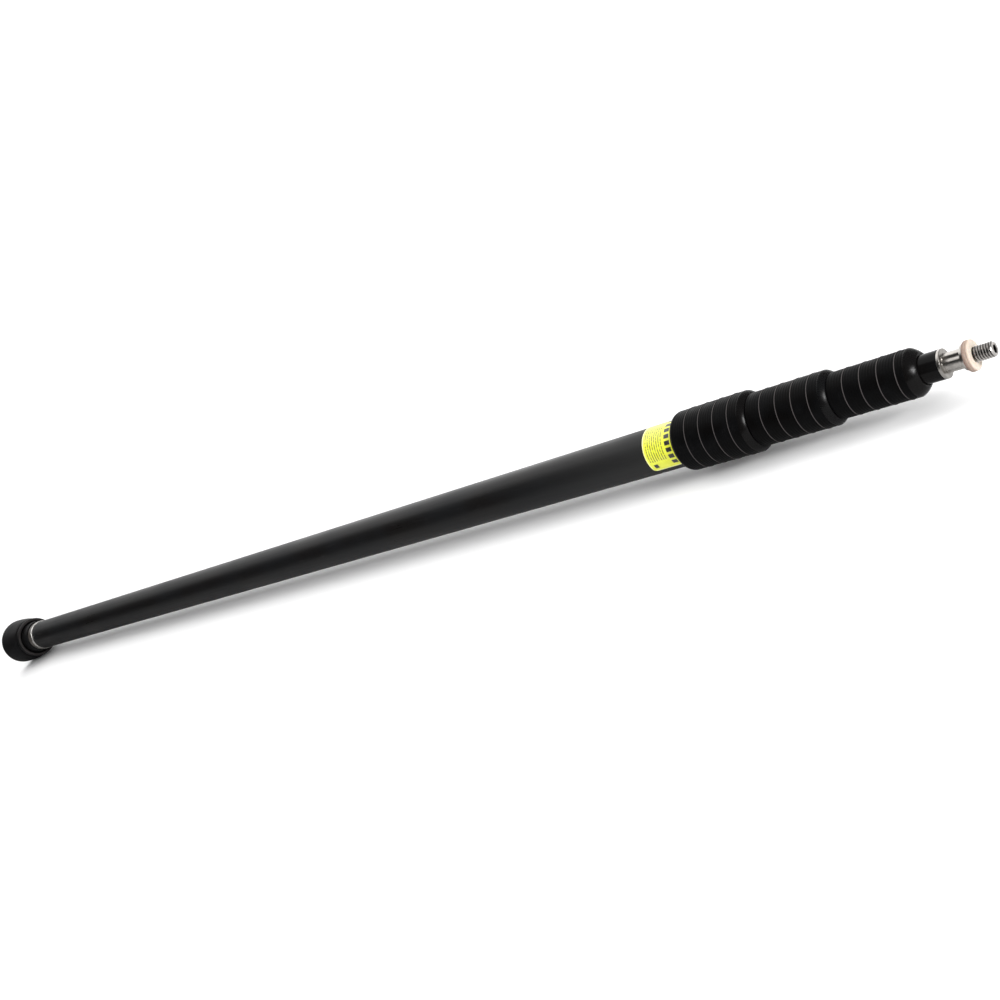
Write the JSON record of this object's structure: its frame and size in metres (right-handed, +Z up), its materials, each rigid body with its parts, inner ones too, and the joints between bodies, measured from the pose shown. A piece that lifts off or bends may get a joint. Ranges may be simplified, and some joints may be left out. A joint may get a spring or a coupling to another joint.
{
  "type": "telescoping boom pole",
  "caption": "Hand-held telescoping microphone boom pole with nested tubes, rubber twist-lock collars, a rubber base cap and a threaded steel tip.",
  "frame": {"origin": "centre of the flat rear face of the rubber base cap, on the pole's axis, with the pole closed", "axes": "+X along the pole from the base cap to the threaded tip, +Z up with the pole held level, +Y completes a right-handed frame"},
  "size_m": [1.2797, 0.0524, 0.0524],
  "materials": {
    "tube_satin": "satin black anodised",
    "tube_gloss": "glossy black anodised",
    "base_sleeve": "dark anodised with a bright turned edge",
    "bare_aluminium": "turned",
    "nut_black": "satin black anodised",
    "grip_rubber": "finely ribbed matt rubber",
    "cap_rubber": "smooth moulded rubber",
    "pad_rubber": "matt",
    "nylon": "moulded nylon",
    "felt": "pressed felt",
    "steel": "turned stainless steel",
    "leather": "undyed leather, cut edge",
    "label_yellow": "printed vinyl"
  },
  "bodies": {
    "root": {"outer_tube": "tube_satin", "base_ferrule": "base_sleeve", "base_cap": "cap_rubber", "base_plug": "bare_aluminium", "stop_pad": "pad_rubber", "info_label": "label_yellow", "thread_ferrule_1": "bare_aluminium", "collet_1": "nylon"},
    "collar_1": {"lock_nut_1": "nut_black", "grip_sleeve_1": "grip_rubber", "wiper_ring_1": "felt"},
    "section_2": {"tube_2": "tube_satin", "guide_bush_2": "nylon", "thread_ferrule_2": "bare_aluminium", "collet_2": "nylon"},
    "collar_2": {"lock_nut_2": "nut_black", "grip_sleeve_2": "grip_rubber", "wiper_ring_2": "felt"},
    "section_3": {"tube_3": "tube_satin", "guide_bush_3": "nylon", "thread_ferrule_3": "bare_aluminium", "collet_3": "nylon"},
    "collar_3": {"lock_nut_3": "nut_black", "grip_sleeve_3": "grip_rubber", "wiper_ring_3": "felt"},
    "section_4": {"tube_4": "tube_gloss", "guide_bush_4": "nylon", "tip_fitting": "steel", "tip_stud": "steel", "tip_washer": "leather"}
  },
  "joints": [
    {"name": "collar_1_twist", "type": "hinge", "parent": "root", "child": "collar_1", "pos_m": [1.09, 0, 0], "axis": [1, 0, 0], "range_deg": [0, 180]},
    {"name": "section_2_slide", "type": "slide", "parent": "root", "child": "section_2", "axis": [1, 0, 0], "range_m": [0, 1.02]},
    {"name": "collar_2_twist", "type": "hinge", "parent": "section_2", "child": "collar_2", "pos_m": [1.15, 0, 0], "axis": [1, 0, 0], "range_deg": [0, 180]},
    {"name": "section_3_slide", "type": "slide", "parent": "section_2", "child": "section_3", "axis": [1, 0, 0], "range_m": [0, 1.02]},
    {"name": "collar_3_twist", "type": "hinge", "parent": "section_3", "child": "collar_3", "pos_m": [1.21, 0, 0], "axis": [1, 0, 0], "range_deg": [0, 180]},
    {"name": "section_4_slide", "type": "slide", "parent": "section_3", "child": "section_4", "axis": [1, 0, 0], "range_m": [0, 1.02]}
  ]
}
